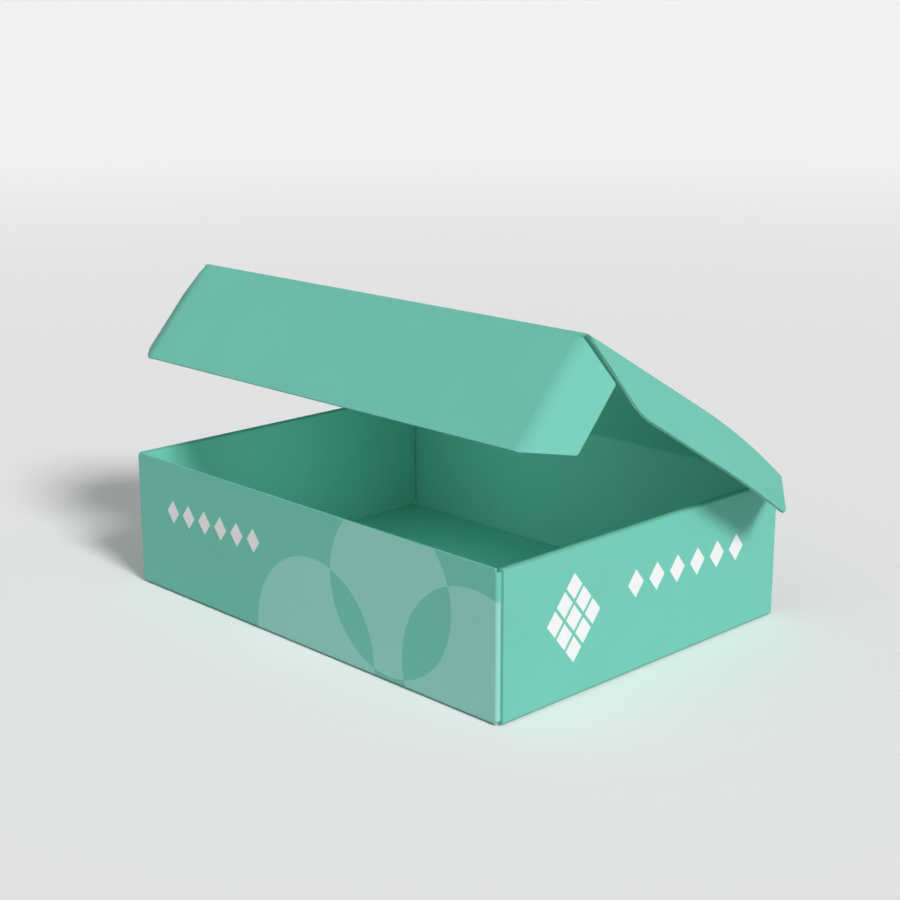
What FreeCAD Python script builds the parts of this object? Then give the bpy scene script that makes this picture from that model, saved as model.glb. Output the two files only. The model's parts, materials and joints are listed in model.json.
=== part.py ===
import FreeCAD, Part
import math
import os
import re

import Sketcher

# Corrugated mailer box of thin board, standing open. The tray is one folded blank with
# double side walls; the lid, its front flap, the flap's end tabs and the lid's side ears
# are the panels that swing on creases. Millimetres and degrees; X is the width, Y the
# depth with the front at -Y, Z is up, and the origin is the middle of the floor's underside.

SIZES = {
    "tray_width": 310.0,  # outside, over both side walls
    "tray_depth": 231.5,  # outside, over the front and rear walls
    "tray_height": 82.3,  # front and rear walls, from the underside of the floor
    "board": 1.3,  # thickness of the corrugated board
    "play": 0.15,  # air between two layers of a side wall
    "fold": 0.5,  # inside radius of a fold
    "lap": 2.0,  # overlap of neighbouring stretches of the one sheet
    "roll_drop": 0.2,  # side wall tops below the rear wall's top
    "roll_fold": 0.3,  # inside radius of the two folds on top of a side wall
    "side_end": 2.8,  # ends of the side walls, inside the tray's outside depth
    "inner_lift": 0.2,  # lower edge of an inner wall above the floor
    "corner_reach": 70.0,  # corner ears, from the outside of their wall
    "corner_low": 2.2,  # lower edge of the corner ears
    "lock_width": 25.0,  # locking tabs of the inner walls
    "lock_spread": 110.0,  # middle to middle of a wall's two locking tabs
    "lock_low": 0.3,  # lower edge of the locking tabs
    "slot_room": 0.3,  # air around a locking tab in its slot
    "seam": 0.12,  # air between two panels that meet at a crease
    "edge_past": 0.35,  # edge of a carrying panel past the crease's line
    "edge_round": 0.62,  # rounding of a swinging panel's edge at its crease
    "lid_reach": 203.3,  # straight from the rear crease to the front crease
    "lid_open": 32.1,  # slope of that line where the lid stands
    "rear_rise": 7.5,  # the bowed lid climbs above that line at the rear
    "front_fall": 2.3,  # and runs down to it at the front
    "ear_room": 0.5,  # side wall to the ear that hangs beside it
    "ear_inset": 0.6,  # side edges of the lid, inside the ears' creases
    "ear_depth": 39.8,  # free edge of a side ear from the ends of its crease
    "ear_front": 2.5,  # front end of an ear, behind the front crease
    "ear_rear": 1.5,  # rear end of an ear, in front of the rear crease
    "ear_slant": 33.0,  # slope of both ends of an ear
    "ear_corner": 14.0,  # rounding of an ear's two free corners
    "ear_flare": 45.0,  # lean of a side ear, outwards
    "flap_drop": 69.3,  # front crease to the front flap's free edge
    "flap_fold": 78.2,  # turn of the front flap out of the lid's plane
    "flap_inset": 1.0,  # ends of the front flap, inside the ears' creases
    "tab_reach": 26.0,  # width of an end tab
    "tab_start": 1.6,  # an end tab's upper edge at its crease
    "tab_top": 17.6,  # and at its free edge
    "tab_low": 58.6,  # an end tab's lower edge at its free edge
    "tab_lift": 1.0,  # and at its crease, above the flap's free edge
    "tab_corner": 1.0,  # rounding of an end tab's outer corners
    "tab_splay": 30.0,  # turn of an end tab behind the flap's plane
}

# Lengths that several pieces share, as formulas on the sizes above.
FOLD_OUTSIDE = "(board + fold)"
WALL_BUILD = "(3 * board + 2 * play)"
EAR_FACE = "(tray_width / 2 - board - play)"
FRONT_RUN = f"({EAR_FACE} - {FOLD_OUTSIDE})"
ROLL_TOP = "(tray_height - roll_drop)"
CREASE_GAP = "(board / 2 + seam)"
EAR_AXIS = "(tray_width / 2 + ear_room + board / 2)"
TAB_AXIS = f"({EAR_AXIS} - flap_inset)"
LID_BOW = ("rear_rise", "front_fall")
EAR_BOW_OUT = ("atan(sin(ear_flare) * tan(rear_rise))", "atan(sin(ear_flare) * tan(front_fall))")
EAR_BOW_UP = ("atan(cos(ear_flare) * tan(rear_rise))", "atan(cos(ear_flare) * tan(front_fall))")

doc = FreeCAD.newDocument("mailer_box")
sheet = doc.addObject("Spreadsheet::Sheet", "Sizes")
for row, (name, size) in enumerate(SIZES.items(), start=1):
    sheet.set(f"A{row}", name)
    sheet.set(f"B{row}", str(size))
    sheet.setAlias(f"B{row}", name)
doc.recompute()


def bound(formula):
    """Writes a formula on the size names as one on the table's cells."""
    return re.sub(r"[a-z]\w*", lambda m: f"Sizes.{m[0]}" if m[0] in SIZES else m[0], str(formula))


def value(formula):
    """Works a formula out, in millimetres or degrees."""
    return float(sheet.evalExpression(bound(formula)))


def new_body(label):
    body = doc.addObject("PartDesign::Body", label)
    body.Label = label
    return body


def new_sketch(body, name, role, height="0"):
    """Adds a sketch on one of the body's own planes, raised from it by a height."""
    sketch = body.newObject("Sketcher::SketchObject", name)
    plane = next(item for item in body.Origin.OriginFeatures if item.Role == role)
    sketch.AttachmentSupport = [(plane, "")]
    sketch.MapMode = "FlatFace"
    sketch.AttachmentOffset = FreeCAD.Placement(FreeCAD.Vector(0, 0, value(height)), FreeCAD.Rotation())
    sketch.setExpression("AttachmentOffset.Base.z", bound(height))
    return sketch


def tie(sketch, constraint, formula):
    """Adds a constraint whose value is the formula's."""
    index = sketch.addConstraint(Sketcher.Constraint(*constraint, value(formula)))
    sketch.renameConstraint(index, f"size{index}")
    sketch.setExpression(f"Constraints.size{index}", bound(formula))


def arc_between(start, end, centre):
    """Gives the short arc between two points, and whether it runs clockwise."""
    first, last = start - centre, end - centre
    clockwise = first.cross(last).z < 0
    if clockwise:
        first, last = last, first
    circle = Part.Circle(centre, FreeCAD.Vector(0, 0, 1), first.Length)
    angles = [math.atan2(spoke.y, spoke.x) for spoke in (first, last)]
    return Part.ArcOfCircle(circle, *angles), clockwise


def draw(sketch, corners):
    """Draws a closed outline. A corner is (across, up), and where an arc leads on to the
    next corner, (across, up, radius, the centre's across, the centre's up)."""
    places = [FreeCAD.Vector(value(corner[0]), value(corner[1]), 0) for corner in corners]
    segments = []
    for number, corner in enumerate(corners):
        start, end = places[number], places[(number + 1) % len(places)]
        clockwise = False
        if len(corner) > 2:
            centre = FreeCAD.Vector(value(corner[3]), value(corner[4]), 0)
            piece, clockwise = arc_between(start, end, centre)
        else:
            piece = Part.LineSegment(start, end)
        index = sketch.addGeometry(piece, False)
        segments.append((index, 2, 1) if clockwise else (index, 1, 2))
    for number, corner in enumerate(corners):
        index, begins, ends = segments[number]
        after, after_begins, _ = segments[(number + 1) % len(segments)]
        sketch.addConstraint(Sketcher.Constraint("Coincident", index, ends, after, after_begins))
        tie(sketch, ("DistanceX", -1, 1, index, begins), corner[0])
        tie(sketch, ("DistanceY", -1, 1, index, begins), corner[1])
        if len(corner) > 2:
            tie(sketch, ("Radius", index), corner[2])


def square_side(near, far):
    """Gives the direction from one corner to the next of an outline with square corners."""
    reach = [value(far[axis]) - value(near[axis]) for axis in (0, 1)]
    longer = 0 if abs(reach[0]) > abs(reach[1]) else 1
    return [math.copysign(1, reach[axis]) if axis == longer else 0 for axis in (0, 1)]


def folded(corners):
    """Rounds the square corners that give a radius, as the sheet's folds and edges are."""
    rounded = []
    for number, corner in enumerate(corners):
        if len(corner) == 2:
            rounded.append(corner)
            continue
        across, up, radius = corner
        back = square_side(corner, corners[number - 1])
        ahead = square_side(corner, corners[(number + 1) % len(corners)])
        begins = (f"{across} + {radius} * {back[0]}", f"{up} + {radius} * {back[1]}")
        ends = (f"{across} + {radius} * {ahead[0]}", f"{up} + {radius} * {ahead[1]}")
        centre = (
            f"{across} + {radius} * {back[0] + ahead[0]}",
            f"{up} + {radius} * {back[1] + ahead[1]}",
        )
        rounded.append((*begins, radius, *centre))
        rounded.append(ends)
    return rounded


def mirrored(corners, side):
    """Gives the outline on the right for side 1, and its mirror image for side -1."""
    return [(f"{side} * ({corner[0]})", *corner[1:]) for corner in corners]


def rectangle(low, high, front, rear):
    return [(low, front), (high, front), (high, rear), (low, rear)]


def pad(body, sketch, length, both_ways=False):
    """Thickens a sketch by a length, upwards or evenly to both sides."""
    feature = body.newObject("PartDesign::Pad", f"{sketch.Name}_pad")
    feature.Profile = sketch
    feature.Length = value(length)
    feature.setExpression("Length", bound(length))
    feature.SideType = "Symmetric" if both_ways else "One side"
    doc.recompute()
    return feature


def pocket(body, sketch, length, both_ways=False):
    """Cuts a sketch's outlines out of the body, upwards or evenly to both sides, and makes
    sure that they cut."""
    before = body.Shape.Volume
    feature = body.newObject("PartDesign::Pocket", f"{sketch.Name}_pocket")
    feature.Profile = sketch
    feature.Length = value(length)
    feature.setExpression("Length", bound(length))
    feature.SideType = "Symmetric" if both_ways else "One side"
    feature.Reversed = not both_ways
    doc.recompute()
    if not body.Shape.Volume < before:
        raise ValueError(f"{sketch.Name} cuts nothing")
    return feature


def place(body, parent, offset, axis, angle):
    """Sets a body on its parent's frame: moved by an offset, then turned about an axis."""
    spot = FreeCAD.Vector(*[value(formula) for formula in offset])
    body.Placement = parent.multiply(FreeCAD.Placement(spot, FreeCAD.Rotation(axis, value(angle))))


def make_tray():
    """Floor, front and rear walls with corner ears, and side walls rolled over the ears,
    whose folds show at the corners."""
    tray = new_body("tray")

    channel = new_sketch(tray, "front_floor_rear", "YZ_Plane")
    front, rear = "-tray_depth / 2", "tray_depth / 2"
    draw(channel, folded([
        (front, "tray_height"),
        (front, "0", FOLD_OUTSIDE),
        (rear, "0", FOLD_OUTSIDE),
        (rear, "tray_height", "edge_round"),
        (f"{rear} - board", "tray_height", "edge_round"),
        (f"{rear} - board", "board", "fold"),
        (f"{front} + board", "board", "fold"),
        (f"{front} + board", "tray_height"),
    ]))
    pad(tray, channel, f"2 * {FRONT_RUN}", both_ways=True)

    outer = new_sketch(tray, "outer_side_walls", "XZ_Plane")
    wall = "tray_width / 2"
    roll_foot = f"{ROLL_TOP} - board - roll_fold"
    for side in (1, -1):
        draw(outer, folded(mirrored([
            (f"{FRONT_RUN} - lap", "0"),
            (wall, "0", FOLD_OUTSIDE),
            (wall, roll_foot),
            (f"{wall} - board", roll_foot),
            (f"{wall} - board", "board", "fold"),
            (f"{FRONT_RUN} - lap", "board"),
        ], side)))
    pad(tray, outer, "tray_depth - 2 * side_end", both_ways=True)

    rolled = new_sketch(tray, "rolled_inner_walls", "XZ_Plane")
    inside = f"tray_width / 2 - {WALL_BUILD}"
    inner_foot = "board + inner_lift"
    for side in (1, -1):
        draw(rolled, folded(mirrored([
            (wall, f"{roll_foot} - lap"),
            (wall, ROLL_TOP, "(board + roll_fold)"),
            (inside, ROLL_TOP, "(board + roll_fold)"),
            (inside, inner_foot),
            (f"{inside} + board", inner_foot),
            (f"{inside} + board", f"{ROLL_TOP} - board", "roll_fold"),
            (f"{wall} - board", f"{ROLL_TOP} - board", "roll_fold"),
            (f"{wall} - board", f"{roll_foot} - lap"),
        ], side)))
    pad(tray, rolled, "tray_depth - 2 * side_end", both_ways=True)

    ears = new_sketch(tray, "corner_ears", "XY_Plane", "corner_low")
    for side in (1, -1):
        for end in (1, -1):
            draw(ears, folded(mirrored([
                (f"{FRONT_RUN} - lap", f"{end} * tray_depth / 2"),
                (EAR_FACE, f"{end} * tray_depth / 2", FOLD_OUTSIDE),
                (EAR_FACE, f"{end} * (tray_depth / 2 - corner_reach)"),
                (f"{EAR_FACE} - board", f"{end} * (tray_depth / 2 - corner_reach)"),
                (f"{EAR_FACE} - board", f"{end} * (tray_depth / 2 - board)", "fold"),
                (f"{FRONT_RUN} - lap", f"{end} * (tray_depth / 2 - board)"),
            ], side)))
    pad(tray, ears, f"{ROLL_TOP} - board - play - corner_low")

    slots = new_sketch(tray, "floor_slots", "XY_Plane")
    locks = new_sketch(tray, "locking_tabs", "XY_Plane", "lock_low")
    for side in (1, -1):
        for end in (1, -1):
            middle = f"{end} * lock_spread / 2"
            half = "lock_width / 2"
            slot_ends = (f"{middle} - {half} - slot_room", f"{middle} + {half} + slot_room")
            slot_sides = (f"{inside} - slot_room", f"{inside} + board + slot_room")
            draw(slots, mirrored(rectangle(*slot_sides, *slot_ends), side))
            lock_ends = (f"{middle} - {half}", f"{middle} + {half}")
            draw(locks, mirrored(rectangle(inside, f"{inside} + board", *lock_ends), side))
    pocket(tray, slots, "board")
    pad(tray, locks, "board + inner_lift + lap - lock_low")
    return tray


def bow_radius(bow):
    """Radius of a bow that rises from the rear crease and runs straight down to the front
    one, from the slopes at its two ends."""
    rise, fall = bow
    drop = f"(cos({fall}) - cos({rise})) / tan({fall})"
    return f"(lid_reach / (sin({rise}) + sin({fall}) + {drop}))"


def bow_point(bow, offset, slope):
    """A point beside the bow's round stretch, where it has that slope. The rear crease is
    the origin and the front crease lies level with it, towards -Y."""
    radius = f"({bow_radius(bow)} + {offset})"
    return (
        f"{radius} * sin({slope}) - {bow_radius(bow)} * sin({bow[0]})",
        f"{radius} * cos({slope}) - {bow_radius(bow)} * cos({bow[0]})",
    )


def bow_arc(bow, offset, slope):
    """The same point, with the radius and centre of the arc that leads on from it."""
    centre = bow_point(bow, f"(-{bow_radius(bow)})", "0")
    return (*bow_point(bow, offset, slope), f"({bow_radius(bow)} + {offset})", *centre)


def front_point(bow, back, offset):
    """A point beside the bow's straight stretch, measured back from the front crease."""
    fall = bow[1]
    return (
        f"{back} * cos({fall}) - ({offset}) * sin({fall}) - lid_reach",
        f"{back} * sin({fall}) + ({offset}) * cos({fall})",
    )


def bowed_sheet(bow, past):
    """Outline of the board along a bow, running past both creases."""
    above, below = "(board / 2)", "(-board / 2)"
    rise, fall = bow
    start_above, start_below = bow_point(bow, above, rise), bow_point(bow, below, rise)
    return [
        bow_arc(bow, above, rise),
        bow_point(bow, above, f"(-{fall})"),
        front_point(bow, f"(-{past})", above),
        front_point(bow, f"(-{past})", below),
        bow_arc(bow, below, f"(-{fall})"),
        start_below,
        (f"{start_below[0]} + {past} * cos({rise})", f"{start_below[1]} - {past} * sin({rise})"),
        (f"{start_above[0]} + {past} * cos({rise})", f"{start_above[1]} - {past} * sin({rise})"),
    ]


def make_lid():
    """Top panel, bowed near the rear crease and straight from there to the front one."""
    lid = new_body("lid")
    profile = new_sketch(lid, "lid_profile", "YZ_Plane")
    draw(profile, bowed_sheet(LID_BOW, "edge_past"))
    pad(lid, profile, f"2 * ({EAR_AXIS} - ear_inset)", both_ways=True)
    return lid


def make_side_ear(label, side):
    """Flap on a side of the lid. It stands off at a slant, so the lid's bow runs on in it:
    seen from above it is bowed outwards, and its upper edge follows the lid."""
    ear = new_body(label)
    plan = new_sketch(ear, f"{label}_plan", "XY_Plane")
    draw(plan, [
        (f"{side} * ({corner[1]})", corner[0])
        if len(corner) == 2
        else (f"{side} * ({corner[1]})", corner[0], corner[2], f"{side} * ({corner[4]})", corner[3])
        for corner in bowed_sheet(EAR_BOW_OUT, "board")
    ])
    pad(ear, plan, "4 * ear_depth", both_ways=True)

    outline = new_sketch(ear, f"{label}_outline", "YZ_Plane")
    turn = "(ear_corner * tan(45 - ear_slant / 2))"
    front = "(ear_front + ear_depth * tan(ear_slant) - lid_reach)"
    rear = "(-ear_rear - ear_depth * tan(ear_slant))"
    below_lid = f"(-{CREASE_GAP})"
    rise, fall = EAR_BOW_UP
    centre_height = "(ear_corner - ear_depth)"
    draw(outline, [
        front_point(EAR_BOW_UP, "ear_front", below_lid),
        (
            f"{front} - {turn} * sin(ear_slant)",
            f"{turn} * cos(ear_slant) - ear_depth",
            "ear_corner",
            f"{front} + {turn}",
            centre_height,
        ),
        (f"{front} + {turn}", "-ear_depth"),
        (f"{rear} - {turn}", "-ear_depth", "ear_corner", f"{rear} - {turn}", centre_height),
        (f"{rear} + {turn} * sin(ear_slant)", f"{turn} * cos(ear_slant) - ear_depth"),
        (f"-ear_rear - {CREASE_GAP} * tan(ear_slant)", below_lid),
        bow_arc(EAR_BOW_UP, below_lid, rise),
        bow_point(EAR_BOW_UP, below_lid, f"(-{fall})"),
    ])
    draw(outline, rectangle("-lid_reach - ear_depth", "ear_depth", "-2 * ear_depth", "2 * ear_depth"))
    pocket(ear, outline, "lid_reach", both_ways=True)
    return ear


def make_front_flap():
    """Flap that tucks in behind the front wall, modelled hanging from its crease."""
    flap = new_body("front_flap")
    profile = new_sketch(flap, "flap_profile", "YZ_Plane")
    draw(profile, folded([
        ("-board / 2", f"-{CREASE_GAP}", "edge_round"),
        ("board / 2", f"-{CREASE_GAP}", "edge_round"),
        ("board / 2", "-flap_drop"),
        ("-board / 2", "-flap_drop"),
    ]))
    pad(flap, profile, f"2 * ({TAB_AXIS} + edge_past)", both_ways=True)
    return flap


def make_front_tab(label, side):
    """Tab on an end of the front flap, narrower towards its free edge."""
    tab = new_body(label)
    outline = new_sketch(tab, f"{label}_outline", "XZ_Plane")
    draw(outline, mirrored([
        (CREASE_GAP, "-tab_start"),
        ("tab_reach", "-tab_top"),
        ("tab_reach", "-tab_low"),
        (CREASE_GAP, "-flap_drop + tab_lift"),
    ], side))
    sheet_pad = pad(tab, outline, "board", both_ways=True)
    near_free_edge = value("tab_reach - tab_corner")
    corners = []
    for number, edge in enumerate(sheet_pad.Shape.Edges, start=1):
        runs_through = round(abs(edge.tangentAt(edge.FirstParameter).y)) == 1
        if runs_through and abs(edge.CenterOfMass.x) > near_free_edge:
            corners.append(f"Edge{number}")
    rounding = tab.newObject("PartDesign::Fillet", f"{label}_corners")
    rounding.Base = (sheet_pad, corners)
    rounding.Radius = value("tab_corner")
    rounding.setExpression("Radius", bound("tab_corner"))
    doc.recompute()
    return tab


X_AXIS = FreeCAD.Vector(1, 0, 0)
Y_AXIS = FreeCAD.Vector(0, 1, 0)
Z_AXIS = FreeCAD.Vector(0, 0, 1)

tray = make_tray()
lid = make_lid()
flap = make_front_flap()
rear_crease = ("0", "tray_depth / 2 - board / 2", f"tray_height + {CREASE_GAP}")
place(lid, tray.Placement, rear_crease, X_AXIS, "-lid_open")
place(flap, lid.Placement, ("0", "-lid_reach", "0"), X_AXIS, "flap_fold + front_fall - 90")
pieces = [tray, lid, flap]
for hand, side in (("right", 1), ("left", -1)):
    tab = make_front_tab(f"front_tab_{hand}", side)
    place(tab, flap.Placement, (f"{side} * {TAB_AXIS}", "0", "0"), Z_AXIS, f"{side} * tab_splay")
    ear = make_side_ear(f"side_ear_{hand}", side)
    place(ear, lid.Placement, (f"{side} * {EAR_AXIS}", "0", "0"), Y_AXIS, f"-{side} * ear_flare")
    pieces += [tab, ear]
doc.recompute()

for item in doc.Objects:
    if {"Invalid", "Error"} & set(item.State):
        raise ValueError(f"{item.Name} failed: {item.State}")
os.makedirs("parts", exist_ok=True)
for piece in pieces:
    shape = piece.Shape
    if shape.isNull() or not shape.isValid() or len(shape.Solids) != 1:
        raise ValueError(f"{piece.Label} is not one sound solid")
    shape.exportStep(f"parts/{piece.Label}.step")
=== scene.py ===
import json
import math

import bpy
from mathutils import Matrix, Vector


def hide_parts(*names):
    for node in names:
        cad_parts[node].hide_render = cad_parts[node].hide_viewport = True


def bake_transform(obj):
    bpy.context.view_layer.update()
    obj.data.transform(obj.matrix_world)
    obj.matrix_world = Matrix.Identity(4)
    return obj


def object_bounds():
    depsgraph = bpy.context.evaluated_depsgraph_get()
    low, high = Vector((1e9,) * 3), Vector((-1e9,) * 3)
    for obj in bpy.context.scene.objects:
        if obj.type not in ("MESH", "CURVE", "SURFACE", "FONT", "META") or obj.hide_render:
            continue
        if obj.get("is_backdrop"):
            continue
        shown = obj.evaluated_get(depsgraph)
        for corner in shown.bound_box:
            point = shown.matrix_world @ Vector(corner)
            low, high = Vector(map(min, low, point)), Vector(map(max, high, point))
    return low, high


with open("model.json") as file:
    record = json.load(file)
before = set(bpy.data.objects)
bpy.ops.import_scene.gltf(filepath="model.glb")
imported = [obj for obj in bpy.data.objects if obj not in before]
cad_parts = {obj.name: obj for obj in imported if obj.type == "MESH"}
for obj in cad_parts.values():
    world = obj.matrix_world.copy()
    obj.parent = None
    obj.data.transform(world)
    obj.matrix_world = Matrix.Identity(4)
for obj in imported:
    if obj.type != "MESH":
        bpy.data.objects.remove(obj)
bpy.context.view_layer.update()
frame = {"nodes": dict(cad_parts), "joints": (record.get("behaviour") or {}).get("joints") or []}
creases = {joint["name"]: joint for joint in frame["joints"]}


# The tray: one blank of thin corrugated board, printed green on both faces, creased and
# folded into a floor, a front and a rear wall, and side walls that roll over to the inside.
# Over the green lie broad pale discs on the front, and white lozenges there and on the sides.

BOARD = 0.0013
TRAY_WIDTH, TRAY_DEPTH, TRAY_HEIGHT = 0.310, 0.2315, 0.0823
GREEN = (0.180, 0.620, 0.500, 1)
PALE_GREEN = (0.330, 0.735, 0.635, 1)
WHITE_PRINT = (0.95, 0.96, 0.96, 1)
CUT_EDGE = (0.21, 0.64, 0.50, 1)
# Painted shade: the dark green laid in the flute hollows of a cut edge.
FLUTE_HOLLOW_SHADE = (0.11, 0.36, 0.28, 1)
# Painted shade: the darker green laid on the top face of the rolled side walls.
ROLL_PAINTED_SHADE = (0.150, 0.520, 0.410, 1)
FLUTE_PITCH = 0.0032
PRINT_REACH = 0.0001
ROLL_WIDTH = 0.0045
INK_SPREAD, FIBRE_SPREAD = 0.07, 0.06
RIB_HEIGHT, FIBRE_HEIGHT, SPECKLE_HEIGHT = 0.0000035, 0.00003, 0.000008
# Middle across and up, then radius.
FRONT_DISCS = ((0.012, 0.004, 0.050), (0.074, 0.050, 0.047), (0.136, 0.016, 0.052))
ROW_MARKS = 6
# Each: first mark's middle across and up, step across, half width, half height.
FRONT_ROW = (-0.118, 0.052, 0.0155, 0.0058, 0.0072)
SIDE_ROW = (-0.012, 0.050, 0.0175, 0.0064, 0.0080)
SIDE_CLUSTER = (-0.0610, 0.0435)
CLUSTER_STEP = (0.0072, 0.0086)
CLUSTER_MARK = (0.0060, 0.0072)


def add_node(tree, kind, inputs=(), **settings):
    """Adds a node, sets it up, and fills its inputs with numbers or with other sockets."""
    new = tree.nodes.new(kind)
    for name, setting in settings.items():
        setattr(new, name, setting)
    for key, given in dict(inputs).items():
        if isinstance(given, bpy.types.NodeSocket):
            tree.links.new(given, new.inputs[key])
        else:
            new.inputs[key].default_value = given
    return new


def reckon(tree, operation, *given):
    """One step of arithmetic on numbers or sockets."""
    return add_node(tree, "ShaderNodeMath", enumerate(given), operation=operation).outputs[0]


def ink_over(tree, share, under, over):
    """Lays one colour over another, by a share of the surface."""
    mix = add_node(tree, "ShaderNodeMix", data_type="RGBA")
    for socket, given in zip((mix.inputs[0], mix.inputs[6], mix.inputs[7]), (share, under, over)):
        if isinstance(given, bpy.types.NodeSocket):
            tree.links.new(given, socket)
        else:
            socket.default_value = given
    return mix.outputs[2]


def in_disc(tree, across, up, middle, radius):
    """1 inside a disc of the print, 0 outside."""
    offsets = [reckon(tree, "SUBTRACT", at, centre) for at, centre in zip((across, up), middle)]
    squares = [reckon(tree, "MULTIPLY", offset, offset) for offset in offsets]
    return reckon(tree, "LESS_THAN", reckon(tree, "ADD", *squares), radius * radius)


def in_lozenge(tree, across, up, middle, half_width, half_height):
    """1 inside a lozenge of the print, 0 outside."""
    reach = [
        reckon(tree, "DIVIDE", reckon(tree, "ABSOLUTE", reckon(tree, "SUBTRACT", at, centre)), half)
        for at, centre, half in zip((across, up), middle, (half_width, half_height))
    ]
    return reckon(tree, "LESS_THAN", reckon(tree, "ADD", *reach), 1)


def printed_board(name, flute_axis, print_colour=None):
    """Matt printed board: the ink is a little uneven, the liner has a fine fibre, and the
    flutes inside show through as faint ribs across the chosen direction."""
    material = bpy.data.materials.new(name)
    material.use_nodes = True
    tree = material.node_tree
    surface = tree.nodes["Principled BSDF"]
    at = add_node(tree, "ShaderNodeTexCoord").outputs["Object"]

    blotches = add_node(tree, "ShaderNodeTexNoise", {"Vector": at, "Scale": 22, "Detail": 3})
    fibre_grain = {"Vector": at, "Scale": 1400, "Detail": 4, "Roughness": 0.65}
    fibre = add_node(tree, "ShaderNodeTexNoise", fibre_grain).outputs["Fac"]
    speckle = add_node(tree, "ShaderNodeTexNoise", {"Vector": at, "Scale": 5200, "Detail": 2})
    colour = print_colour(tree, at) if print_colour else GREEN
    uneven = reckon(tree, "MULTIPLY_ADD", blotches.outputs["Fac"], INK_SPREAD, 1 - INK_SPREAD / 2)
    uneven = reckon(tree, "SUBTRACT", uneven, FIBRE_SPREAD / 2)
    uneven = reckon(tree, "MULTIPLY_ADD", fibre, FIBRE_SPREAD, uneven)
    shaded = add_node(tree, "ShaderNodeHueSaturation", {"Value": uneven})
    if isinstance(colour, bpy.types.NodeSocket):
        tree.links.new(colour, shaded.inputs["Color"])
    else:
        shaded.inputs["Color"].default_value = colour
    tree.links.new(shaded.outputs["Color"], surface.inputs["Base Color"])

    along = add_node(tree, "ShaderNodeSeparateXYZ", {0: at}).outputs[flute_axis]
    rib = reckon(tree, "SINE", reckon(tree, "MULTIPLY", along, 2 * math.pi / FLUTE_PITCH))
    relief = reckon(tree, "MULTIPLY_ADD", rib, RIB_HEIGHT, reckon(tree, "MULTIPLY", fibre, FIBRE_HEIGHT))
    relief = reckon(tree, "MULTIPLY_ADD", speckle.outputs["Fac"], SPECKLE_HEIGHT, relief)
    bump = add_node(tree, "ShaderNodeBump", {"Strength": 0.6, "Distance": 1.0, "Height": relief})
    tree.links.new(bump.outputs["Normal"], surface.inputs["Normal"])
    matt = reckon(tree, "MULTIPLY_ADD", fibre, 0.16, 0.50)
    tree.links.new(matt, surface.inputs["Roughness"])
    surface.inputs["Specular IOR Level"].default_value = 0.35
    return material


def lozenge_row(tree, across, up, row):
    """1 inside any mark of a row of lozenges, 0 outside."""
    first, height, step, half_width, half_height = row
    white = 0
    for number in range(ROW_MARKS):
        middle = (first + step * number, height)
        mark = in_lozenge(tree, across, up, middle, half_width, half_height)
        white = reckon(tree, "MAXIMUM", white, mark)
    return white


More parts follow.
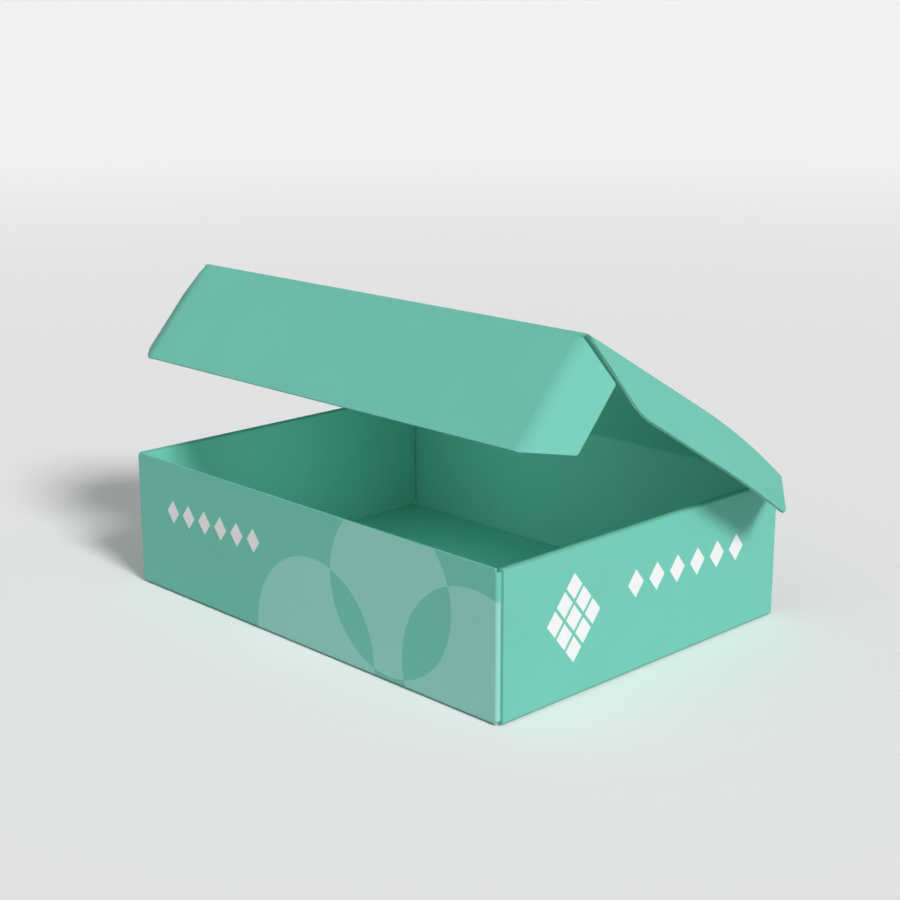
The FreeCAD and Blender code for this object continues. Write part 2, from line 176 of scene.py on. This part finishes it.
def tray_print(tree, at):
    """The tray's ink, laid by place: pale discs that overlap on the front, a row of white
    lozenges beside them, and a row and a cluster of lozenges on the sides. Where the board
    rolls over on top it is painted darker, as painted shade, and its cut edges take a lighter tint."""
    x, y, z = add_node(tree, "ShaderNodeSeparateXYZ", {0: at}).outputs
    normal = add_node(tree, "ShaderNodeNewGeometry").outputs["Normal"]
    facing = add_node(tree, "ShaderNodeSeparateXYZ", {0: normal}).outputs
    width_there = reckon(tree, "ABSOLUTE", x)

    on_front = reckon(tree, "LESS_THAN", y, BOARD * 1.6 - TRAY_DEPTH / 2)
    faces_out = reckon(tree, "LESS_THAN", facing[1], 0.3)
    below_rim = reckon(tree, "LESS_THAN", z, TRAY_HEIGHT - PRINT_REACH)
    on_front = reckon(tree, "MULTIPLY", reckon(tree, "MULTIPLY", on_front, faces_out), below_rim)
    on_side = reckon(tree, "GREATER_THAN", width_there, TRAY_WIDTH / 2 - PRINT_REACH)
    on_front = reckon(tree, "MULTIPLY", on_front, reckon(tree, "SUBTRACT", 1, on_side))

    pale = 0
    for across, up, radius in FRONT_DISCS:
        disc = in_disc(tree, x, z, (across, up), radius)
        pale = reckon(tree, "ABSOLUTE", reckon(tree, "SUBTRACT", pale, disc))
    pale = reckon(tree, "MULTIPLY", pale, on_front)
    white_front = reckon(tree, "MULTIPLY", lozenge_row(tree, x, z, FRONT_ROW), on_front)

    white_side = lozenge_row(tree, y, z, SIDE_ROW)
    for column in range(-2, 3):
        for row in range(abs(column) - 2, 3 - abs(column), 2):
            offsets = (CLUSTER_STEP[0] * column, CLUSTER_STEP[1] * row)
            middle = [centre + offset for centre, offset in zip(SIDE_CLUSTER, offsets)]
            mark = in_lozenge(tree, y, z, middle, *CLUSTER_MARK)
            white_side = reckon(tree, "MAXIMUM", white_side, mark)
    white_side = reckon(tree, "MULTIPLY", white_side, on_side)

    looks_up = reckon(tree, "GREATER_THAN", facing[2], 0.3)
    at_rim = reckon(tree, "GREATER_THAN", z, TRAY_HEIGHT - PRINT_REACH)
    cut_top = reckon(tree, "MULTIPLY", looks_up, at_rim)
    looks_along = reckon(tree, "GREATER_THAN", reckon(tree, "ABSOLUTE", facing[1]), 0.99)
    in_side = reckon(tree, "GREATER_THAN", width_there, TRAY_WIDTH / 2 - BOARD * 1.05)
    cut = reckon(tree, "MAXIMUM", cut_top, reckon(tree, "MULTIPLY", looks_along, in_side))
    # Painted shade on the top face of the roll, where the board folds over.
    on_roll = reckon(tree, "GREATER_THAN", width_there, TRAY_WIDTH / 2 - ROLL_WIDTH)
    near_top = reckon(tree, "GREATER_THAN", z, TRAY_HEIGHT - 2 * BOARD)
    shaded_roll_top = reckon(tree, "MULTIPLY", reckon(tree, "MULTIPLY", on_roll, near_top), looks_up)

    colour = ink_over(tree, pale, GREEN, PALE_GREEN)
    colour = ink_over(tree, reckon(tree, "MAXIMUM", white_front, white_side), colour, WHITE_PRINT)
    colour = ink_over(tree, shaded_roll_top, colour, ROLL_PAINTED_SHADE)
    return ink_over(tree, cut, colour, CUT_EDGE)


tray = frame["nodes"]["tray"]
tray.data.materials.clear()
tray.data.materials.append(printed_board("tray_print", 1, print_colour=tray_print))


# The lid: the top panel of the same blank. It hangs on a crease along the rear wall's top,
# and the board has taken a bow there, so it stands open in a shallow curve.

LID_RISE, LID_FALL = math.radians(7.5), math.radians(2.3)
REAR_BEND, FRONT_BEND, EAR_BEND = 0.0045, 0.0024, 0.0020
EAR_FLARE = math.radians(45.0)
REAR_LAP = 0.0026
EDGE_GAP = 0.0002
ROUND_START = 0.003
ROUND_STEPS, STRAIGHT_STEPS, LID_COLUMNS = 40, 12, 24
CUT_ANGLE = math.radians(35)
# Shares of the board's thickness.
WAVE_HEIGHT, WAVE_HALF, LINER_FROM_MIDDLE = 0.31, 0.13, 0.36
rear_crease = Vector(creases["lid_crease"]["pos_m"])
front_crease = Vector(creases["front_flap_crease"]["pos_m"])
ear_crease_x = creases["side_ear_right_crease"]["pos_m"][0]
flap_half_width = creases["front_tab_right_crease"]["pos_m"][0]
lid_reach = (front_crease - rear_crease).length
lid_forward = (front_crease - rear_crease).normalized()
lid_up = Vector((1, 0, 0)).cross(lid_forward)
lid_up = lid_up if lid_up.z > 0 else -lid_up
lid_slope = math.atan2(lid_forward.z, -lid_forward.y)
bow_drop = (math.cos(LID_FALL) - math.cos(LID_RISE)) / math.tan(LID_FALL)
bow_radius = lid_reach / (math.sin(LID_RISE) + math.sin(LID_FALL) + bow_drop)
round_reach = bow_radius * (math.sin(LID_RISE) + math.sin(LID_FALL))


def bow_height(along):
    """Height of the middle of the lid's board over the straight line between its creases."""
    if along > round_reach:
        return (lid_reach - along) * math.tan(LID_FALL)
    off_centre = along - bow_radius * math.sin(LID_RISE)
    return math.sqrt(bow_radius**2 - off_centre**2) - bow_radius * math.cos(LID_RISE)


def lid_point(along, height=0.0, x=0.0):
    """A point in the row frame from its place on the lid."""
    return rear_crease + lid_forward * along + lid_up * height + Vector((x, 0, 0))


def bend(corner, arrive, leave, radius, steps=6):
    """The rounded corner that a crease makes in the middle of the board."""
    turn = arrive.angle(leave)
    start = corner - arrive * radius * math.tan(turn / 2)
    inward = (leave - arrive * leave.dot(arrive)).normalized()
    centre = start + inward * radius
    return [
        centre + (arrive * math.sin(turn * k / steps) - inward * math.cos(turn * k / steps)) * radius
        for k in range(steps + 1)
    ]


def board_from_grid(name, grid, materials, outer_side):
    """Gives the grid of points, the middle of the board, its thickness. Rows run across the
    flutes. The two faces take the first material, and the cut edges the second."""
    rows, columns = len(grid), len(grid[0])
    normals = []
    for i in range(rows):
        normals.append([])
        for j in range(columns):
            down = grid[min(i + 1, rows - 1)][j] - grid[max(i - 1, 0)][j]
            over = grid[i][min(j + 1, columns - 1)] - grid[i][max(j - 1, 0)]
            normals[i].append((down.cross(over) * outer_side).normalized())
    points = [grid[i][j] + normals[i][j] * BOARD / 2 for i in range(rows) for j in range(columns)]
    points += [grid[i][j] - normals[i][j] * BOARD / 2 for i in range(rows) for j in range(columns)]
    under = rows * columns

    def number(i, j):
        return i * columns + j

    faces, kinds = [], []
    for i in range(rows - 1):
        for j in range(columns - 1):
            ring = [number(i, j), number(i + 1, j), number(i + 1, j + 1), number(i, j + 1)]
            if outer_side < 0:
                ring.reverse()
            faces.append(ring)
            faces.append([under + k for k in reversed(ring)])
            kinds += [0, 0]
    border = [number(0, j) for j in range(columns)]
    border += [number(i, columns - 1) for i in range(1, rows)]
    border += [number(rows - 1, j) for j in range(columns - 2, -1, -1)]
    border += [number(i, 0) for i in range(rows - 2, 0, -1)]
    for k, first in enumerate(border):
        second = border[(k + 1) % len(border)]
        ring = [first, second, under + second, under + first]
        if outer_side > 0:
            ring.reverse()
        faces.append(ring)
        kinds.append(1)

    mesh = bpy.data.meshes.new(name)
    mesh.from_pydata(points, [], faces)
    for material in materials:
        mesh.materials.append(material)
    mesh.polygons.foreach_set("material_index", kinds)
    mesh.shade_smooth()
    mesh.set_sharp_from_angle(angle=CUT_ANGLE)
    layer = mesh.uv_layers.new(name="blank")
    for polygon in mesh.polygons:
        for loop in polygon.loop_indices:
            vertex = mesh.loops[loop].vertex_index
            i, j = divmod(vertex % under, columns)
            if polygon.material_index == 0:
                layer.data[loop].uv = (i / (rows - 1), j / (columns - 1))
            else:
                layer.data[loop].uv = (0, 1 if vertex < under else 0)
    piece = bpy.data.objects.new(name, mesh)
    bpy.context.scene.collection.objects.link(piece)
    return piece


def cut_edge(name, flute_axis, open_flutes=True):
    """The cut edge of the board: two pale liners, and between them the wave of the flutes
    where the cut crosses them. The hollows beside the wave are painted dark, as painted shade."""
    material = bpy.data.materials.new(name)
    material.use_nodes = True
    tree = material.node_tree
    surface = tree.nodes["Principled BSDF"]
    coordinates = add_node(tree, "ShaderNodeTexCoord")
    through = add_node(tree, "ShaderNodeSeparateXYZ", {0: coordinates.outputs["UV"]}).outputs[1]
    along = add_node(tree, "ShaderNodeSeparateXYZ", {0: coordinates.outputs["Object"]}).outputs[flute_axis]
    from_middle = reckon(tree, "SUBTRACT", through, 0.5)
    if open_flutes:
        wave = reckon(tree, "SINE", reckon(tree, "MULTIPLY", along, 2 * math.pi / FLUTE_PITCH))
        wave = reckon(tree, "MULTIPLY", wave, WAVE_HEIGHT)
    else:
        wave = 0
    off_wave = reckon(tree, "ABSOLUTE", reckon(tree, "SUBTRACT", from_middle, wave))
    on_wave = reckon(tree, "LESS_THAN", off_wave, WAVE_HALF)
    out_from_middle = reckon(tree, "ABSOLUTE", from_middle)
    in_liner = reckon(tree, "GREATER_THAN", out_from_middle, LINER_FROM_MIDDLE)
    paper = reckon(tree, "MAXIMUM", on_wave, in_liner)
    # The flute hollows take the painted shade colour, the paper the cut-edge colour.
    colour = ink_over(tree, paper, FLUTE_HOLLOW_SHADE, CUT_EDGE)
    tree.links.new(colour, surface.inputs["Base Color"])
    surface.inputs["Roughness"].default_value = 0.85
    surface.inputs["Specular IOR Level"].default_value = 0.2
    bump = add_node(tree, "ShaderNodeBump", {"Strength": 0.7, "Distance": 0.0003, "Height": paper})
    tree.links.new(bump.outputs["Normal"], surface.inputs["Normal"])
    return material


wall_up = Vector((0, 0, 1))
bow_start = (lid_forward * math.cos(LID_RISE) + lid_up * math.sin(LID_RISE)).normalized()
bow_end = (lid_forward * math.cos(LID_FALL) - lid_up * math.sin(LID_FALL)).normalized()
lid_line = [rear_crease - wall_up * REAR_LAP]
lid_line += bend(rear_crease, wall_up, bow_start, REAR_BEND, steps=10)
for k in range(ROUND_STEPS + 1):
    along = ROUND_START + (round_reach - ROUND_START) * k / ROUND_STEPS
    lid_line.append(lid_point(along, bow_height(along)))
tab_axis = Vector(creases["front_tab_right_crease"]["axis"])
flap_down = -tab_axis if tab_axis.z > 0 else tab_axis
front_bend = bend(front_crease, bow_end, flap_down, FRONT_BEND, steps=10)
lid_line += [lid_line[-1].lerp(front_bend[0], k / STRAIGHT_STEPS) for k in range(1, STRAIGHT_STEPS + 1)]
lid_half_width = ear_crease_x - EAR_BEND * math.tan(EAR_FLARE / 2) - EDGE_GAP
lid_grid = [
    [point + Vector((lid_half_width * (2 * k / LID_COLUMNS - 1), 0, 0)) for k in range(LID_COLUMNS + 1)]
    for point in lid_line
]
lid_board = printed_board("lid_print", 1)
lid_edge = cut_edge("lid_edge", 1, open_flutes=True)
lid = board_from_grid("lid_panel", lid_grid, [lid_board, lid_edge], outer_side=-1)
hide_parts("lid")
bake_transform(lid)


# The front flap: the strip of the sheet that hangs on the lid's front crease, and tucks in
# behind the tray's front wall when the box is shut. Its ends fold softly into the tabs, so
# the panel stops short of them below the crease.

FLAP_DROP = 0.0693
FLAP_STEPS, FLAP_COLUMNS = 10, 24
TAB_SPLAY = math.radians(30.0)
TAB_BEND = 0.0180
TAB_SLIT = 0.00004
flap_foot = front_crease + flap_down * FLAP_DROP
flap_line = list(front_bend)
flap_line += [front_bend[-1].lerp(flap_foot, k / FLAP_STEPS) for k in range(1, FLAP_STEPS + 1)]
tab_bend_reach = TAB_BEND * math.tan(TAB_SPLAY / 2)
bend_depth = (front_bend[-1] - front_crease).dot(flap_down)
flap_line.insert(len(front_bend), front_bend[-1] + flap_down * TAB_SLIT)
flap_grid = []
for point in flap_line:
    half = flap_half_width - TAB_SLIT
    if (point - front_crease).dot(flap_down) > bend_depth + TAB_SLIT / 2:
        half -= tab_bend_reach
    shares = [2 * k / FLAP_COLUMNS - 1 for k in range(FLAP_COLUMNS + 1)]
    flap_grid.append([point + Vector((half * share, 0, 0)) for share in shares])
flap_board = printed_board("flap_print", 2)
flap_edge = cut_edge("flap_edge", 0, open_flutes=False)
flap = board_from_grid("front_flap_panel", flap_grid, [flap_board, flap_edge], outer_side=-1)
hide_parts("front_flap")
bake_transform(flap)


# The flap's end tabs: each is creased back from an end of the front flap, narrows towards
# its free edge, and has its outer corners rounded. They go in beside the side walls.

TAB_REACH, TAB_TOP, TAB_LOW = 0.026, 0.0176, 0.0586
TAB_CORNER = 0.0010
TAB_COLUMNS, TAB_ROWS, TAB_BEND_STEPS = 18, 16, 12


def tab_depth(out, low):
    """Where a tab's upper or lower edge runs, at a distance out from its crease."""
    start, end = (FLAP_DROP, TAB_LOW) if low else (bend_depth + 2 * TAB_SLIT, TAB_TOP)
    depth = start + (end - start) * max(out, 0) / TAB_REACH
    left = TAB_REACH - out
    if left < TAB_CORNER:
        eased = TAB_CORNER - math.sqrt(TAB_CORNER**2 - (TAB_CORNER - left) ** 2)
        depth += -eased if low else eased
    return depth


for hand, side in (("right", 1), ("left", -1)):
    hinge = Vector((side * flap_half_width, front_crease.y, front_crease.z))
    flat = Vector((side, 0, 0))
    behind = flap_down.cross(Vector((1, 0, 0)))
    behind = behind if behind.z < 0 else -behind
    leaning = (flat * math.cos(TAB_SPLAY) + behind * math.sin(TAB_SPLAY)).normalized()
    across = bend(hinge, flat, leaning, TAB_BEND, steps=TAB_BEND_STEPS)
    half_arc = TAB_BEND * TAB_SPLAY / 2
    outs = [half_arc * (2 * k / TAB_BEND_STEPS - 1) for k in range(TAB_BEND_STEPS + 1)]
    for k in range(1, TAB_COLUMNS + 1):
        beyond = (TAB_REACH - half_arc) * math.sin(k / TAB_COLUMNS * math.pi / 2)
        across.append(hinge + leaning * (tab_bend_reach + beyond))
        outs.append(half_arc + beyond)
    tab_grid = []
    for point, out in zip(across, outs):
        top, low = tab_depth(out, False), tab_depth(out, True)
        depths = [top + (low - top) * k / TAB_ROWS for k in range(TAB_ROWS + 1)]
        tab_grid.append([point + flap_down * depth for depth in depths])
    tab = board_from_grid(f"front_tab_{hand}_panel", tab_grid, [flap_board, lid_edge], outer_side=side)
    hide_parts(f"front_tab_{hand}")
    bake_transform(tab)


# The lid's side ears: flaps with slanted, rounded ends on both sides of the lid. Their
# crease follows the lid's bow, so each stands off at a slant and is bent as the lid is.

EAR_DEPTH, EAR_FRONT, EAR_REAR, EAR_CORNER = 0.0398, 0.0025, 0.0015, 0.014
EAR_SLANT = math.radians(33.0)
EAR_LINES, EAR_ROWS = 90, 14
EAR_CROWDING = 0.85
ear_bevel = EAR_CORNER * math.tan(math.pi / 4 - EAR_SLANT / 2)


def ear_reach(from_end):
    """Depth of an ear's outline at a distance in from an end of its crease."""
    corner = EAR_DEPTH * math.tan(EAR_SLANT)
    if from_end < corner - ear_bevel * math.sin(EAR_SLANT):
        return from_end / math.tan(EAR_SLANT)
    if from_end > corner + ear_bevel:
        return EAR_DEPTH
    to_centre = corner + ear_bevel - from_end
    return EAR_DEPTH - EAR_CORNER + math.sqrt(max(0.0, EAR_CORNER**2 - to_centre**2))


ear_ends = (EAR_REAR, lid_reach - EAR_FRONT)
for hand, side in (("right", 1), ("left", -1)):
    flat = Vector((side, 0, 0))
    hanging = (flat * math.sin(EAR_FLARE) - lid_up * math.cos(EAR_FLARE)).normalized()
    ear_grid = []
    for line in range(EAR_LINES + 1):
        share = line / EAR_LINES
        eased = share - math.sin(2 * math.pi * share) / (2 * math.pi) * EAR_CROWDING
        along = ear_ends[0] + (ear_ends[1] - ear_ends[0]) * eased
        crease_point = lid_point(along, bow_height(along), side * ear_crease_x)
        turn = bend(crease_point, flat, hanging, EAR_BEND, steps=8)
        depth = ear_reach(min(along - ear_ends[0], ear_ends[1] - along))
        depth += bow_height(along) * math.cos(EAR_FLARE)
        first = (turn[-1] - crease_point).dot(hanging)
        depth = max(depth, first + EDGE_GAP)
        depths = [first + (depth - first) * k / EAR_ROWS for k in range(1, EAR_ROWS + 1)]
        column = [turn[0] - flat * EDGE_GAP] + turn + [crease_point + hanging * depth for depth in depths]
        ear_grid.append(column)
    ear = board_from_grid(f"side_ear_{hand}_panel", ear_grid, [lid_board, lid_edge], outer_side=side)
    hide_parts(f"side_ear_{hand}")
    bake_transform(ear)


# The table and the air round the box: a pale grey floor, one soft lamp from the right, a
# plain sky that fills the shadows, and a weak lamp inside the tray. The camera stands at
# the photograph's place.

FLOOR_GREY = (0.64, 0.64, 0.64, 1)
FLOOR_SEEN = (0.99, 0.99, 0.99, 1)
FAR_GLOW, GLOW_NEAR, GLOW_FAR = 0.13, 0.6, 3.5
SKY_SEEN, SKY_LEVEL, SKY_FROM_FRONT = 0.86, 0.28, 0.30
FLOOR_DROP = 0.0006
floor_mesh = bpy.data.meshes.new("floor")
floor_half = 300.0
floor_corners = [(floor_half * x, floor_half * y, 0) for x, y in ((-1, -1), (1, -1), (1, 1), (-1, 1))]
floor_mesh.from_pydata(floor_corners, [], [(0, 1, 2, 3)])
floor = bpy.data.objects.new("floor", floor_mesh)
bpy.context.scene.collection.objects.link(floor)
floor.location.z = -FLOOR_DROP
floor_paint = bpy.data.materials.new("floor_paint")
floor_paint.use_nodes = True
floor_tree = floor_paint.node_tree
floor_shader = floor_tree.nodes["Principled BSDF"]
floor_place = add_node(floor_tree, "ShaderNodeTexCoord").outputs["Object"]
floor_seen = add_node(floor_tree, "ShaderNodeLightPath").outputs["Is Camera Ray"]
floor_colour = ink_over(floor_tree, floor_seen, FLOOR_GREY, FLOOR_SEEN)
floor_tree.links.new(floor_colour, floor_shader.inputs["Base Color"])
away = add_node(floor_tree, "ShaderNodeVectorMath", {0: floor_place}, operation="LENGTH").outputs["Value"]
glow_reach = {0: away, 1: GLOW_NEAR, 2: GLOW_FAR, 3: 0.0, 4: FAR_GLOW}
glow = add_node(floor_tree, "ShaderNodeMapRange", glow_reach, interpolation_type="SMOOTHSTEP")
glow = reckon(floor_tree, "MULTIPLY", glow.outputs[0], floor_seen)
floor_shader.inputs["Emission Color"].default_value = (1, 1, 1, 1)
floor_tree.links.new(glow, floor_shader.inputs["Emission Strength"])
floor_shader.inputs["Roughness"].default_value = 0.9
floor_shader.inputs["Specular IOR Level"].default_value = 0.0
floor_mesh.materials.append(floor_paint)
floor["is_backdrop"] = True

sky = bpy.data.worlds.new("studio_air")
bpy.context.scene.world = sky
sky.use_nodes = True
sky_tree = sky.node_tree
seen = add_node(sky_tree, "ShaderNodeLightPath").outputs["Is Camera Ray"]
background = sky_tree.nodes["Background"]
background.inputs["Color"].default_value = (1, 1, 1, 1)
direction = add_node(sky_tree, "ShaderNodeTexCoord").outputs["Generated"]
towards = add_node(sky_tree, "ShaderNodeSeparateXYZ", {0: direction}).outputs
from_front = reckon(sky_tree, "MAXIMUM", reckon(sky_tree, "MULTIPLY", towards[1], -SKY_FROM_FRONT), 0)
fill_level = reckon(sky_tree, "ADD", from_front, SKY_LEVEL)
unseen = reckon(sky_tree, "MULTIPLY", fill_level, reckon(sky_tree, "SUBTRACT", 1, seen))
sky_level = reckon(sky_tree, "ADD", unseen, reckon(sky_tree, "MULTIPLY", seen, SKY_SEEN))
sky_tree.links.new(sky_level, background.inputs["Strength"])

lamp_data = bpy.data.lights.new("key_lamp", "SUN")
lamp_data.angle = math.radians(15)
lamp_data.energy = 2.22
lamp = bpy.data.objects.new("key_lamp", lamp_data)
bpy.context.scene.collection.objects.link(lamp)
to_lamp = Vector((0.79, -0.15, 0.60)).normalized()
lamp.location = Vector((0, 0, 0.06)) + to_lamp * 2.2
lamp.rotation_mode = "QUATERNION"
lamp.rotation_quaternion = to_lamp.to_track_quat("Z", "Y")

inner_data = bpy.data.lights.new("inner_lamp", "POINT")
inner_data.shadow_soft_size = 0.03
inner_data.energy = 0.084
inner_lamp = bpy.data.objects.new("inner_lamp", inner_data)
bpy.context.scene.collection.objects.link(inner_lamp)
inner_lamp.location = (-0.045, -0.015, 0.06)
inner_lamp.visible_camera = False

camera_data = bpy.data.cameras.new("camera")
camera_data.lens = 68.31
camera_data.sensor_width = 36
camera_data.clip_end = 60
camera = bpy.data.objects.new("camera", camera_data)
bpy.context.scene.collection.objects.link(camera)
camera.location = (0.7009, -0.6789, 0.3538)
looking = Vector((-0.6931, 0.6725, -0.2598)).normalized()
camera_roll = math.radians(-0.122)
camera.rotation_mode = "QUATERNION"
level = looking.to_track_quat("-Z", "Y").to_matrix()
camera.rotation_quaternion = (level @ Matrix.Rotation(camera_roll, 3, "Z")).to_quaternion()
bpy.context.scene.camera = camera
bpy.context.scene.view_settings.view_transform = "Standard"


low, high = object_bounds()
